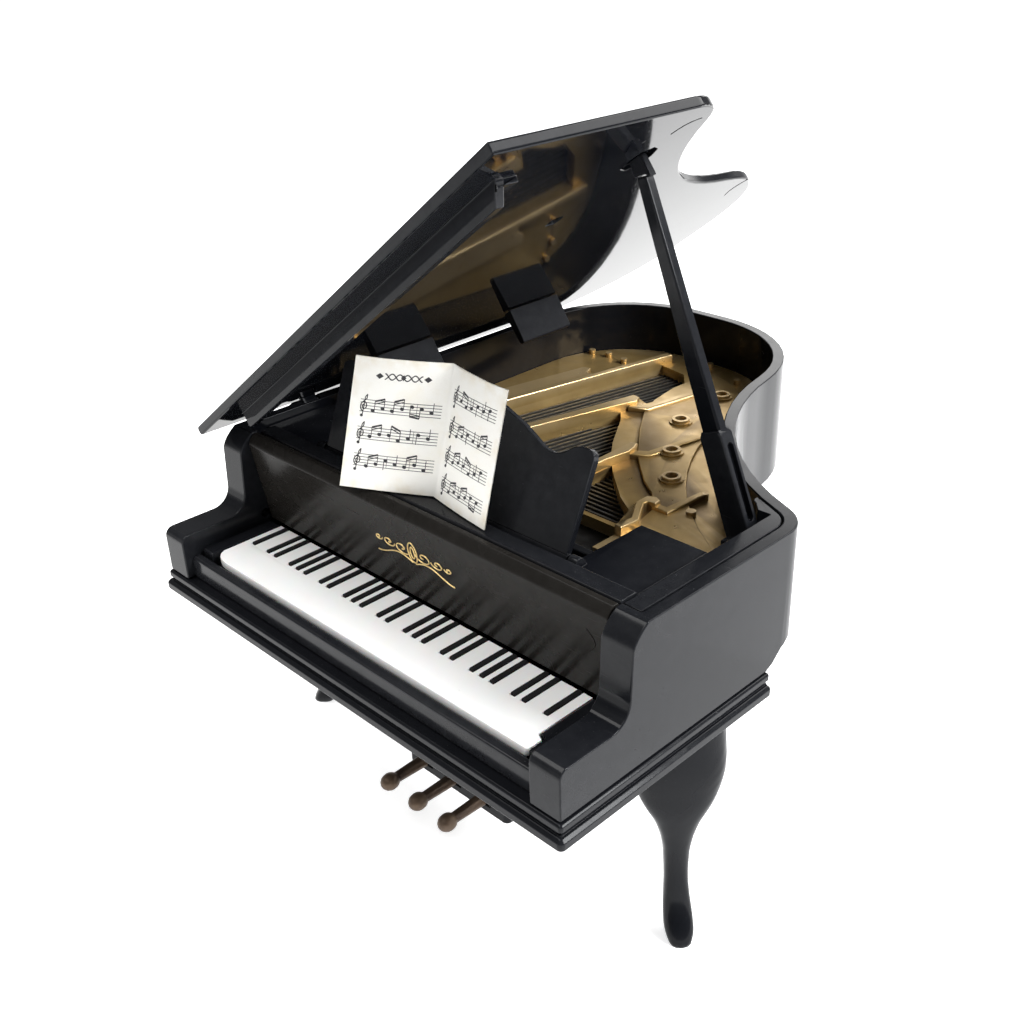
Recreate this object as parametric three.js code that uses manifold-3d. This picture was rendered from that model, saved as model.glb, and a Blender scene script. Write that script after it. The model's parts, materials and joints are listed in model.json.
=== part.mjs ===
// Miniature grand piano for a doll's house: moulded case, raised lid on a prop,
// folding key cover, music desk with a paper score, three pedals and three cabriole legs.
// Units are millimetres. +Z is up, the keyboard faces -Y and +X is the treble side.
import * as THREE from 'three';
import { mergeVertices } from 'three/addons/utils/BufferGeometryUtils.js';
import Module from 'manifold-3d';

const wasm = await Module();
wasm.setup();
const { Manifold, Mesh } = wasm;

// ---- driving dimensions ----
const HALF_W = 65;
const GAP = 0.3;
const RIM = 3;
const CASE_BOTTOM = 58.2;
const CASE_TOP = 88.8;
const TRAY_BOTTOM = 52.4;
const TRAY_TOP = 57.9;
const TRAY_BACK = 62;
const CHEEK_IN = 57.35;
const CHEEK_BACK = 24.6;
const CORNER_R = 9.52;
const CORNER_Y = 65.9;
const CORNER_END = 1.19;
const WAIST_R = 71.1;
const WAIST_END = 3.28;
const TAIL_R = 37.4;
const TAIL_LEFT_R = 31.64;
const FLOOR_Z = 62.5;
const BOARD_TOP = 71.4;
const PLATE_BOTTOM = 71.7;
const PLATE_TOP = 74.7;
const STRUT_TOP = 77.2;
const STRUT_LOW = 76.2;
const PLATE_FRONT = 64.6;
const SHELF_TOP = 86.8;
const KEY_TOP = 64.6;
const BLACK_TOP = 65.0;
const WHITE_PITCH = 2.95;
const KEYS_LEFT = -52.8;
const FALL_Y = 26.2;
const FALL_Z = 66.9;
const LID_OPEN = 36.45;
const LID_PIVOT_X = -64.7;
const LID_PIVOT_Z = 87.8;
const LID_UNDER = 89.15;
const LID_THICK = 2.33;
const LID_OVERHANG = 0.88;
const LID_FRONT = 14.35;
const SOCKET_DEPTH = 0.9;
const HINGES_Y = [45, 126];
const PROP_X = 54.1;
const PROP_Y = 68;
const PROP_Z = 79.7;
const PROP_LEAN = 21.9;
const PROP_LENGTH = 77.9;
const DESK_Y = 31.2;
const DESK_Z = 87.6;
const DESK_LEAN = 22.8;
const SCORE_HEIGHT = 27.6;
const SCORE_LEAN = 7.6;
const PEDALS_X = [-10.35, 0, 10.35];
const PEDAL_Z = 11.9;
const PEDAL_PIN_Y = 34.6;
const rad = THREE.MathUtils.degToRad;

const group = new THREE.Group();
group.name = 'miniature_grand_piano';

// ---- solid helpers ----
function toSolid(geometry) {
  let g = geometry.clone();
  g.deleteAttribute('normal');
  g.deleteAttribute('uv');
  g = mergeVertices(g, 1e-4);
  const mesh = new Mesh({
    numProp: 3,
    vertProperties: new Float32Array(g.attributes.position.array),
    triVerts: new Uint32Array(g.index.array),
  });
  return new Manifold(mesh);
}

function toGeometry(solid) {
  const mesh = solid.getMesh();
  const g = new THREE.BufferGeometry();
  g.setAttribute('position', new THREE.BufferAttribute(new Float32Array(mesh.vertProperties), 3));
  g.setIndex(new THREE.BufferAttribute(new Uint32Array(mesh.triVerts), 1));
  g.computeVertexNormals();
  return g;
}

const join = (...geos) => toGeometry(Manifold.union(geos.map(toSolid)));
const cut = (base, ...tools) => toGeometry(toSolid(base).subtract(Manifold.union(tools.map(toSolid))));

function add(name, geometry, color, metalness, roughness) {
  const material = new THREE.MeshStandardMaterial({ color, metalness, roughness });
  const mesh = new THREE.Mesh(geometry, material);
  mesh.name = name;
  group.add(mesh);
  return mesh;
}

const lacquer = (name, geometry) => add(name, geometry, 0x101216, 0, 0.18);
const satin = (name, geometry) => add(name, geometry, 0x15171a, 0, 0.4);

// ---- shape helpers ----
function shapeOf(points) {
  return new THREE.Shape(points.map(([x, y]) => new THREE.Vector2(x, y)));
}

function extrudeZ(shape, z0, z1, bevel = 0) {
  const g = new THREE.ExtrudeGeometry(shape, {
    depth: z1 - z0 - 2 * bevel,
    bevelEnabled: bevel > 0,
    bevelThickness: bevel,
    bevelSize: bevel,
    bevelOffset: -bevel,
    bevelSegments: 1,
    curveSegments: 4,
  });
  g.translate(0, 0, z0 + bevel);
  return g;
}

const TO_X = new THREE.Matrix4().makeBasis(
  new THREE.Vector3(0, 1, 0), new THREE.Vector3(0, 0, 1), new THREE.Vector3(1, 0, 0));
const TO_Y = new THREE.Matrix4().makeBasis(
  new THREE.Vector3(1, 0, 0), new THREE.Vector3(0, 0, 1), new THREE.Vector3(0, -1, 0));

// profile in (Y, Z), run along X
function extrudeX(shape, x0, x1, bevel = 0) {
  return extrudeZ(shape, x0, x1, bevel).applyMatrix4(TO_X);
}

// profile in (X, Z), run along Y
function extrudeY(shape, y0, y1, bevel = 0) {
  return extrudeZ(shape, -y1, -y0, bevel).applyMatrix4(TO_Y);
}

function box(x0, x1, y0, y1, z0, z1, bevel = 0) {
  return extrudeZ(shapeOf([[x0, y0], [x1, y0], [x1, y1], [x0, y1]]), z0, z1, bevel);
}

function roundRect(x0, x1, y0, y1, r) {
  const s = new THREE.Shape();
  s.moveTo(x0 + r, y0);
  s.lineTo(x1 - r, y0);
  s.absarc(x1 - r, y0 + r, r, -Math.PI / 2, 0);
  s.lineTo(x1, y1 - r);
  s.absarc(x1 - r, y1 - r, r, 0, Math.PI / 2);
  s.lineTo(x0 + r, y1);
  s.absarc(x0 + r, y1 - r, r, Math.PI / 2, Math.PI);
  s.lineTo(x0, y0 + r);
  s.absarc(x0 + r, y0 + r, r, Math.PI, 1.5 * Math.PI);
  return s;
}

function rodX(x0, x1, y, z, r, n = 16) {
  return new THREE.CylinderGeometry(r, r, x1 - x0, n).rotateZ(Math.PI / 2).translate((x0 + x1) / 2, y, z);
}

function rodY(y0, y1, x, z, r, n = 16) {
  return new THREE.CylinderGeometry(r, r, y1 - y0, n).translate(x, (y0 + y1) / 2, z);
}

function rodZ(z0, z1, x, y, r, n = 16) {
  return new THREE.CylinderGeometry(r, r, z1 - z0, n).rotateX(Math.PI / 2).translate(x, y, (z0 + z1) / 2);
}

// closed skin through rings of equal point count, listed from bottom to top
function loft(rings) {
  const n = rings[0].length;
  const positions = [];
  const index = [];
  rings.forEach((ring) => ring.forEach((p) => positions.push(...p)));
  for (let k = 0; k < rings.length - 1; k += 1) {
    for (let i = 0; i < n; i += 1) {
      const a = k * n + i;
      const b = k * n + ((i + 1) % n);
      index.push(a, b, b + n, a, b + n, a + n);
    }
  }
  const last = (rings.length - 1) * n;
  for (let i = 1; i < n - 1; i += 1) {
    index.push(0, i + 1, i);
    index.push(last, last + i, last + i + 1);
  }
  const g = new THREE.BufferGeometry();
  g.setAttribute('position', new THREE.Float32BufferAttribute(positions, 3));
  g.setIndex(index);
  g.computeVertexNormals();
  return g;
}

// ---- plan of the case: straight treble side, rounded corner, waist, tail, straight bass side ----
function arc(cx, cy, r, a0, a1, n) {
  const points = [];
  for (let i = 0; i <= n; i += 1) {
    const a = a0 + ((a1 - a0) * i) / n;
    points.push([cx + r * Math.cos(a), cy + r * Math.sin(a)]);
  }
  return points;
}

function casePlan(offset, yFront) {
  const c1 = [HALF_W - CORNER_R, CORNER_Y];
  const d1 = CORNER_R + WAIST_R;
  const c2 = [c1[0] + d1 * Math.cos(CORNER_END), c1[1] + d1 * Math.sin(CORNER_END)];
  const d2 = WAIST_R + TAIL_R;
  const c3 = [c2[0] + d2 * Math.cos(WAIST_END), c2[1] + d2 * Math.sin(WAIST_END)];
  const c4 = [-HALF_W + TAIL_LEFT_R, c3[1] + TAIL_R - TAIL_LEFT_R];
  return [
    [HALF_W + offset, yFront],
    ...arc(c1[0], c1[1], CORNER_R + offset, 0, CORNER_END, 8),
    ...arc(c2[0], c2[1], WAIST_R - offset, CORNER_END + Math.PI, WAIST_END, 12).slice(1),
    ...arc(c3[0], c3[1], TAIL_R + offset, WAIST_END - Math.PI, Math.PI / 2, 12).slice(1),
    ...arc(c4[0], c4[1], TAIL_LEFT_R + offset, Math.PI / 2, Math.PI, 10),
    [-HALF_W - offset, yFront],
  ];
}

// ---- case ----
function makeRim() {
  const inner = casePlan(-RIM, CHEEK_BACK).reverse();
  const ring = shapeOf([
    ...casePlan(0, 0),
    [-CHEEK_IN, 0],
    [-CHEEK_IN, CHEEK_BACK],
    ...inner,
    [CHEEK_IN, CHEEK_BACK],
    [CHEEK_IN, 0],
  ]);
  const wall = extrudeZ(ring, CASE_BOTTOM, CASE_TOP);
  const scroll = new THREE.Shape();
  scroll.moveTo(-2, 67.2);
  scroll.lineTo(0, 67.2);
  scroll.absarc(2.2, 67.2, 2.2, Math.PI, Math.PI / 2, true);
  scroll.lineTo(13.6, 69.4);
  scroll.absarc(13.6, 74.2, 4.8, -Math.PI / 2, 0);
  scroll.lineTo(18.9, 84.3);
  scroll.quadraticCurveTo(19.6, 86.6, 22.9, 88.8);
  scroll.lineTo(22.9, 92);
  scroll.lineTo(-2, 92);
  const sill = new THREE.Shape();
  sill.moveTo(61.6, 56);
  sill.lineTo(61.6, 58.4);
  sill.bezierCurveTo(64.5, 58.6, 65, 62.1, 68.4, 62.2);
  sill.lineTo(100, 62.2);
  sill.bezierCurveTo(108, 62.2, 109, 58.4, 118, 58.3);
  sill.lineTo(118, 56);
  const tools = [extrudeX(scroll, -70, 70), extrudeX(sill, -70, 70)];
  const barrels = [];
  for (const y of HINGES_Y) {
    tools.push(box(-66.2, -63, y - 2.4, y + 2.4, 86.3, 90));
    for (const end of [y - 5.4, y + 2.4]) {
      barrels.push(rodY(end, end + 3, LID_PIVOT_X, LID_PIVOT_Z, 0.95, 14));
    }
  }
  const solid = toSolid(wall)
    .subtract(Manifold.union(tools.map(toSolid)))
    .add(Manifold.union(barrels.map(toSolid)));
  const bores = HINGES_Y.map((y) => rodY(y - 6.2, y + 6.2, LID_PIVOT_X, LID_PIVOT_Z, 0.6, 12));
  for (const s of [-1, 1]) {
    bores.push(rodX(s > 0 ? 57 : -59.3, s > 0 ? 59.3 : -57, FALL_Y - 2.6, FALL_Z, 1.1, 14));
  }
  return toGeometry(solid.subtract(Manifold.union(bores.map(toSolid))));
}

lacquer('case_rim', makeRim());

const keyBed = join(
  extrudeZ(roundRect(-66.4, 66.4, -1.4, TRAY_BACK, 1.2), TRAY_BOTTOM, 55.3, 0.7),
  box(-65.1, 65.1, -0.1, TRAY_BACK - 0.6, 55, 56.4),
  extrudeZ(roundRect(-65.6, 65.6, -0.6, TRAY_BACK, 0.8), 56, TRAY_TOP, 0.4),
);
lacquer('key_bed', keyBed);

const floorShape = shapeOf(casePlan(-RIM - GAP, 30));
satin('bottom_board', extrudeZ(floorShape, FLOOR_Z, FLOOR_Z + 2));

// ---- soundboard with string ridges, and the gold plate above it ----
// open fields of the plate; along says whether the ridges below run with the struts or across
const stringField = [
  {
    outline: [
      [-52.6, 66], [-45.4, 98], [-34.6, 149.5], [-25, 147.7], [-16.4, 137.4], [-19.4, 124],
      [-24.5, 126], [-32.7, 90.2], [-38.2, 66],
    ],
    along: true,
  },
  {
    outline: [[-33.6, 66], [-26.9, 94.6], [-20.6, 114.7], [-17.3, 110.9], [-9.4, 98.6], [-4.6, 92.4], [-4.9, 66]],
    along: true,
  },
  {
    outline: [[-0.6, 66], [-0.4, 88], [3.3, 84.4], [12.4, 76.5], [18, 72.9], [20.4, 66]],
    along: false,
  },
];
const STRUT_LEAN = 0.22;

function makeSoundboard() {
  const base = extrudeZ(shapeOf(casePlan(-RIM - GAP, 56)), 69.2, BOARD_TOP);
  const ridges = [];
  for (const { outline, along } of stringField) {
    const xs = outline.map((p) => p[0]);
    const ys = outline.map((p) => p[1]);
    const [x0, x1] = [Math.min(...xs), Math.max(...xs)];
    const [y0, y1] = [Math.min(...ys), Math.max(...ys)];
    const clip = extrudeZ(shapeOf(outline), BOARD_TOP - 1, BOARD_TOP + 0.9);
    const bars = [];
    if (along) {
      const lean = new THREE.Matrix4().makeShear(0, 0, STRUT_LEAN, 0, 0, 0);
      for (let x = x0 - STRUT_LEAN * (y1 - y0); x < x1; x += 1.9) {
        const bar = box(x, x + 0.8, 0, y1 - y0, BOARD_TOP - 0.8, BOARD_TOP + 0.7);
        bars.push(toSolid(bar.applyMatrix4(lean).translate(0, y0, 0)));
      }
    } else {
      for (let y = y0 + 0.6; y < y1; y += 1.7) {
        bars.push(toSolid(box(x0, x1, y, y + 0.7, BOARD_TOP - 0.8, BOARD_TOP + 0.7)));
      }
    }
    ridges.push(Manifold.union(bars).intersect(toSolid(clip)));
  }
  return toGeometry(toSolid(base).add(Manifold.union(ridges)));
}

add('soundboard', makeSoundboard(), 0x1b1a18, 0, 0.55);

// the cast struts: a tall wall towards the keyboard and a lower run towards the tail
const strutWalls = [
  [
    [-58.6, 58], [-59.4, 77], [-53.2, 101.6], [-47.2, 129.2], [-44.8, 129.4], [-43.4, 126.4], [-41.6, 126.6],
    [-36, 153.6], [-33.8, 153.4], [-45.6, 97], [-53.4, 62], [-54, 58],
  ],
  [[-38.6, 58], [-30.6, 89], [-22.4, 122.2], [-20, 121.8], [-19, 119.4], [-20.6, 114.6], [-28, 89], [-35.6, 58]],
  [[-3.3, 58], [-2.6, 86.5], [-2.8, 97.8], [-1, 98.4], [0, 96.2], [0.6, 93.4], [-0.6, 86], [-1.2, 58]],
  [
    [22.4, 62], [23.6, 67], [19.4, 73.6], [19.4, 77.6], [21.6, 78.6], [23.2, 77.8], [23.4, 75.8], [21.4, 75.4],
    [21.3, 74.2], [25.6, 67.4], [25, 62],
  ],
];
const strutTails = [
  [[-21.6, 121.4], [-19.4, 120.8], [-17, 121.6], [-12.9, 137.6], [-10.9, 137.2], [-14.6, 119], [-19.4, 116.4]],
  [[-1.4, 97.8], [-0.2, 96.2], [2.6, 98.2], [5.9, 114.6], [7.9, 114.2], [4.6, 96.4], [0.4, 93.6]],
  [[22.4, 77.6], [25, 77.8], [26.1, 88.8], [28, 88.4], [27, 75.6], [22.6, 75.4]],
];
// the edge where the plate steps up to the rosettes
const plateauEdge = [
  [24.6, 66], [22.4, 76], [17, 82], [11.4, 85.9], [1.4, 95.4], [-8.7, 108.2], [-15, 117.6], [-18.4, 126],
  [-20, 136], [-19.4, 150],
];
const rosettes = [[-3.3, 118.8], [6.9, 102.3], [16.3, 90.5], [-5.4, 139.4]];
const studs = [
  [-57, 143.6, 1], [-51.4, 144.8, 1], [-44.6, 143.8, 1], [27.4, 88.9, 0.9], [30.4, 79.9, 1.2],
  [-22.6, 157, 1], [-9, 151.6, 1],
];

function makePlate() {
  const outline = casePlan(-RIM - GAP, 54.6);
  const inside = toSolid(extrudeZ(shapeOf(outline), 60, 90));
  const sheet = extrudeZ(shapeOf(outline), PLATE_BOTTOM, PLATE_TOP);
  const windows = stringField.map((f) => extrudeZ(shapeOf(f.outline), PLATE_BOTTOM - 1, PLATE_TOP + 4));
  const low = PLATE_TOP - 0.8;
  // the raised field stops short of the bent side, where a channel runs along the rim
  const bent = casePlan(-RIM - GAP - 7.5, 66).slice(10, 33);
  const raised = strutWalls.map((plan) => extrudeZ(shapeOf(plan), low, STRUT_TOP, 0.3));
  raised.push(...strutTails.map((plan) => extrudeZ(shapeOf(plan), low, STRUT_LOW, 0.3)));
  raised.push(extrudeZ(shapeOf([...plateauEdge, ...bent.reverse()]), low, PLATE_TOP + 0.8, 0.3));
  const top = PLATE_TOP + 0.8;
  for (const [x, y] of rosettes) {
    raised.push(rodZ(low, top + 0.4, x, y, 3.1, 16));
    raised.push(rodZ(low, top + 1.1, x, y, 2.35, 16));
  }
  for (const [x, y, r] of studs) {
    raised.push(rodZ(low, PLATE_TOP + 1.4, x, y, r, 10));
  }
  const holes = rosettes.map(([x, y]) => rodZ(PLATE_TOP - 1.4, PLATE_TOP + 3, x, y, 1.55, 12));
  // the sheet ends at the fields' front bar, except at the treble end where it runs on under the shelf
  holes.push(box(-64, 23.2, 50, PLATE_FRONT, 70, 80));
  const plate = toSolid(sheet)
    .subtract(Manifold.union(windows.map(toSolid)))
    .add(Manifold.union(raised.map(toSolid)))
    .intersect(inside);
  return toGeometry(plate.subtract(Manifold.union(holes.map(toSolid))));
}

add('iron_plate', makePlate(), 0xa8803e, 0.7, 0.38);

// ---- liner along the treble wall, ending in a curl that carries the prop ----
function makeLiner() {
  const outer = casePlan(-RIM - GAP, CHEEK_BACK + GAP).slice(0, 9);
  const edge = casePlan(-RIM - GAP - 4.1, CHEEK_BACK + GAP).slice(0, 9).reverse();
  const tip = arc(52.9, 74.1, 1.9, 1.3, 1.3 + Math.PI, 6);
  const plan = shapeOf([...outer, ...tip, ...edge]);
  const wall = extrudeZ(plan, PLATE_TOP + GAP, CASE_TOP - 0.1);
  const ear = extrudeY(shapeOf([[50.6, 75], [61.4, 75], [61.4, 84], [50.6, 83]]), 70.1, 72.8);
  const bores = [
    rodY(69.4, 72.5, PROP_X, PROP_Z, 1.15, 16),
    rodY(61.8, 66, PROP_X, PROP_Z, 1.15, 16),
  ];
  const frontEar = extrudeY(shapeOf([[50.6, 75], [61, 75], [61, 84], [50.6, 83]]), 63.2, 65.6);
  const inside = extrudeZ(shapeOf(casePlan(-RIM - GAP, CHEEK_BACK + GAP)), 70, 90);
  const solid = toSolid(join(wall, ear, frontEar)).intersect(toSolid(inside));
  return cut(toGeometry(solid), ...bores, box(49, 57.6, 65.7, 70, 74, 90));
}

lacquer('liner_right', makeLiner());

// ---- front rail and shelf panels ----
const railProfile = [
  [24.85, 72.4], [28.1, 69.4], [28.1, 64.8], [29.5, 64.8], [29.5, CASE_TOP - 0.4],
  [29.1, CASE_TOP], [25.2, CASE_TOP], [24.85, CASE_TOP - 0.4],
];
lacquer('front_rail', extrudeX(shapeOf(railProfile), -57, 57));

function makeShelf(side) {
  const inner = side * 38.9;
  const outer = side * (side > 0 ? 55.6 : 61.6);
  const x0 = Math.min(inner, outer);
  const x1 = Math.max(inner, outer);
  const channel = shapeOf([
    [29.8, 66], [31.3, 66], [31.3, 84.6], [51, 84.6], [51, 66], [52.5, 66], [52.5, SHELF_TOP - 0.5],
    [52, SHELF_TOP], [30.3, SHELF_TOP], [29.8, SHELF_TOP - 0.5],
  ]);
  const earShape = new THREE.Shape();
  earShape.moveTo(30, SHELF_TOP - 0.6);
  earShape.lineTo(33.4, SHELF_TOP - 0.6);
  earShape.lineTo(32.8, DESK_Z);
  earShape.absarc(DESK_Y, DESK_Z, 1.25, 0, Math.PI);
  const e0 = side > 0 ? 38.9 : -41.3;
  const ear = extrudeX(earShape, e0, e0 + 2.4);
  const socket = rodX(Math.min(side * 38, side * 40.7), Math.max(side * 38, side * 40.7), DESK_Y, DESK_Z, 0.8, 12);
  return cut(join(extrudeX(channel, x0, x1), ear), socket);
}

lacquer('shelf_panel_left', makeShelf(-1));
lacquer('shelf_panel_right', makeShelf(1));

// pin block: the dark board seen between the two shelf panels
satin('pin_block', join(
  box(-38.5, 38.5, 30, 54, 71.7, 74.2),
  box(-37, 37, 31, 33.4, 74, 76.4, 0.3),
  box(-37, 37, 49, 51.4, 74, 76.4, 0.3),
));

// ---- folding key cover ----
function makeFallboard() {
  const s = new THREE.Shape();
  s.moveTo(24.75, 65.2);
  s.lineTo(21.25, 86.5);
  s.quadraticCurveTo(21.5, 87.4, 22.9, 88.7);
  s.lineTo(24.2, 88.7);
  s.lineTo(24.5, 88.3);
  s.lineTo(24.5, 70.4);
  s.lineTo(26.6, 68.4);
  s.absarc(FALL_Y, FALL_Z, 1.5, 1.2, -1.9, true);
  const face = extrudeX(s, -56.95, 56.95);
  const stubs = [rodX(-58.9, -56, FALL_Y, FALL_Z, 0.8, 14), rodX(56, 58.9, FALL_Y, FALL_Z, 0.8, 14)];
  return join(face, ...stubs);
}

lacquer('fallboard', makeFallboard());

// ---- keyboard ----
const octave = [1, 2, 4, 5, 6];
const blackX = [KEYS_LEFT + WHITE_PITCH];
for (let k = 2; k < 35; k += 1) {
  if (octave.includes((k - 2) % 7)) {
    blackX.push(KEYS_LEFT + WHITE_PITCH * k);
  }
}

function makeWhiteKeys() {
  const s = new THREE.Shape();
  s.moveTo(-47.2, 4.9);
  s.lineTo(51.4, 4.9);
  s.absarc(51.4, 5.8, 0.9, -Math.PI / 2, 0);
  s.lineTo(52.3, 8.6);
  s.lineTo(50.65, 9.4);
  s.lineTo(50.65, 24.4);
  s.lineTo(-52.6, 24.4);
  s.lineTo(-52.6, 8);
  s.quadraticCurveTo(-51.8, 5.2, -47.2, 4.9);
  const plate = join(extrudeZ(s, 62.7, KEY_TOP), box(-46, 50, 5.4, 7, 58.3, 63));
  return cut(plate, ...blackX.map((x) => box(x - 0.72, x + 0.72, 14.4, 25, 60, 66)));
}

add('white_keys', makeWhiteKeys(), 0xf1f0ec, 0, 0.35);

const teeth = blackX.map((x) => box(x - 0.54, x + 0.54, 14.6, 24.2, 62, BLACK_TOP));
add('black_keys', join(box(-52.4, 50.4, 12.6, 24.2, 58.4, 62.4), ...teeth), 0x121214, 0, 0.4);

lacquer('key_block_left', box(-57.05, -52.9, 4.9, 24.3, 58.3, 64.8, 0.3));
const blockRight = shapeOf([
  [52.6, 4.9], [57.05, 4.9], [57.05, 24.3], [50.95, 24.3], [50.95, 9.7], [52.6, 9],
]);
lacquer('key_block_right', extrudeZ(blockRight, 58.3, 64.8, 0.25));

const slip = new THREE.Shape();
slip.moveTo(2, 58.2);
slip.lineTo(4.4, 58.2);
slip.lineTo(4.4, 63.2);
slip.lineTo(4, 63.6);
slip.lineTo(2.8, 63.6);
slip.quadraticCurveTo(2, 63.5, 2, 62.7);
lacquer('key_slip', extrudeX(slip, -57.05, 57.05));

// ---- lid ----
function toOpenLid(geometry) {
  return geometry
    .translate(-LID_PIVOT_X, 0, -LID_PIVOT_Z)
    .rotateY(-rad(LID_OPEN))
    .translate(LID_PIVOT_X, 0, LID_PIVOT_Z);
}

function makeLid() {
  const under = LID_UNDER;
  const panel = extrudeZ(shapeOf(casePlan(LID_OVERHANG, LID_FRONT)), under, under + LID_THICK, 0.35);
  const rib = extrudeY(shapeOf([
    [-56.8, under + 0.5], [-56.8, under - 3.6], [-56.2, under - 4], [52.6, under - 4], [55.4, under - 0.4],
    [55.4, under + 0.5],
  ]), 22.2, 24.3);
  const ribEnd = box(50.6, 54.8, 22.4, 27.8, under - 1.2, under + 0.5);
  const parts = [panel, rib, ribEnd];
  for (const y of HINGES_Y) {
    parts.push(rodY(y - 2.1, y + 2.1, LID_PIVOT_X, LID_PIVOT_Z, 0.9, 14));
    parts.push(box(LID_PIVOT_X - 0.8, LID_PIVOT_X + 0.8, y - 2.1, y + 2.1, LID_PIVOT_Z, under + 0.5));
  }
  const recess = new THREE.Shape();
  recess.absellipse(46.9, 67.1, 4.4, 3.3, 0, Math.PI * 2);
  const tools = [
    extrudeZ(recess, under - 1, under + SOCKET_DEPTH),
    extrudeZ(roundRect(21.3, 24.7, 61.9, 64.9, 0.8), under - 1, under + 0.8),
    ...HINGES_Y.map((y) => rodY(y - 3, y + 3, LID_PIVOT_X, LID_PIVOT_Z, 0.6, 12)),
  ];
  return toOpenLid(cut(join(...parts), ...tools));
}

lacquer('lid_panel', makeLid());

// guide tabs standing square to the lid's underside
function makeLidTab(y0, y1) {
  const s = shapeOf([
    [-46.4, 88.85], [-46, 80], [-45.6, 79.4], [-44.4, 79.4], [-44, 80], [-43.6, 88.85],
  ]);
  return toOpenLid(extrudeY(s, y0, y1, 0.25));
}

lacquer('lid_tab_front', makeLidTab(55.5, 73.5));
lacquer('lid_tab_rear', makeLidTab(101, 119.5));

HINGES_Y.forEach((y, i) => {
  const pin = rodY(y - 5.9, y + 5.9, LID_PIVOT_X, LID_PIVOT_Z, 0.35, 12);
  add(`lid_hinge_pin_${i + 1}`, pin, 0x8c8f93, 0.9, 0.3);
});

// seat for the prop, standing in an oval recess: its face is an arc about the prop pivot, with a stop lip
function makeCatch() {
  const c = Math.cos(rad(LID_OPEN));
  const s = Math.sin(rad(LID_OPEN));
  const dx = PROP_X - LID_PIVOT_X;
  const dz = PROP_Z - LID_PIVOT_Z;
  const px = LID_PIVOT_X + dx * c + dz * s;
  const pz = LID_PIVOT_Z - dx * s + dz * c;
  const seat = PROP_LENGTH + GAP;
  const top = LID_UNDER + SOCKET_DEPTH - GAP;
  const a0 = Math.asin(18.1 / seat);
  const a1 = Math.asin(20.8 / seat);
  const face = [];
  for (let i = 0; i <= 4; i += 1) {
    const a = a0 + ((a1 - a0) * i) / 4;
    face.push([px + seat * Math.sin(a), pz + seat * Math.cos(a)]);
  }
  const end = face[face.length - 1];
  const profile = [
    ...face,
    [end[0] + 0.1, end[1] - 0.8],
    [end[0] + 0.8, end[1] - 0.8],
    [end[0] + 1, top],
    [face[0][0] - 0.3, top],
  ];
  const oval = new THREE.Shape();
  oval.absellipse(px + 19.9, PROP_Y, 2.3, 1.35, 0, Math.PI * 2);
  const block = toSolid(extrudeY(shapeOf(profile), PROP_Y - 3, PROP_Y + 3));
  return toOpenLid(toGeometry(block.intersect(toSolid(extrudeZ(oval, top - 6, top + 1)))));
}

satin('lid_catch', makeCatch());

// ---- prop ----
function makeProp() {
  const tipArc = [];
  for (let i = 0; i <= 4; i += 1) {
    const x = 1.3 - 0.65 * i;
    tipArc.push([x, Math.sqrt(PROP_LENGTH * PROP_LENGTH - x * x)]);
  }
  const side = [[2.4, 1], [2.4, 26], [1.4, 76.6]];
  const rod = shapeOf([
    ...arc(0, 0, 2.4, Math.PI + 0.3, 2 * Math.PI - 0.3, 7),
    ...side,
    ...tipArc,
    ...side.map(([x, z]) => [-x, z]).reverse(),
  ]);
  const blade = extrudeY(rod, -1.35, 1.35, 0.5);
  const sleeveShape = shapeOf([
    ...arc(0, 0, 3, Math.PI + 0.2, 2 * Math.PI - 0.2, 7),
    [3.2, 4], [2.9, 25.2], [2.2, 26.4], [-2.2, 26.4], [-2.9, 25.2], [-3.2, 4],
  ]);
  const sleeve = extrudeY(sleeveShape, -2, 2, 0.45);
  const slot = extrudeX(roundRect(-0.8, 0.8, 6.5, 23.4, 0.78), 2, 5);
  const bore = rodY(-4, 4, 0, 0, 1.15, 16);
  const prop = cut(join(blade, sleeve), slot, bore);
  return prop.rotateY(-rad(PROP_LEAN)).translate(PROP_X, PROP_Y, PROP_Z);
}

lacquer('lid_prop', makeProp());
add('prop_pin', rodY(62.2, 72.2, PROP_X, PROP_Z, 0.85, 16), 0x8c8f93, 0.9, 0.3);

// ---- music desk and score ----
function makeDesk() {
  const s = new THREE.Shape();
  s.moveTo(-38.1, 0.6);
  s.lineTo(38.1, 0.6);
  s.lineTo(38.6, 19.4);
  s.quadraticCurveTo(38.6, 21.4, 36.6, 21.5);
  s.quadraticCurveTo(33.4, 21.7, 31.6, 19.6);
  s.quadraticCurveTo(29.4, 17.8, 25.6, 18.8);
  s.quadraticCurveTo(13, 25.2, 0, 25.4);
  s.quadraticCurveTo(-13, 25.2, -25.6, 18.8);
  s.quadraticCurveTo(-29.4, 17.8, -31.6, 19.6);
  s.quadraticCurveTo(-33.4, 21.7, -36.6, 21.5);
  s.quadraticCurveTo(-38.6, 21.4, -38.6, 19.4);
  const board = extrudeZ(s, -0.9, 0.9, 0.25).rotateX(Math.PI / 2);
  const axle = rodX(-40.4, 40.4, 0, 0, 0.5, 12);
  const barrel = rodX(-38.4, 38.4, 0, 0, 0.95, 14);
  return join(board, barrel, axle).rotateX(-rad(DESK_LEAN)).translate(0, DESK_Y, DESK_Z);
}

lacquer('music_desk', makeDesk());

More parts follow.
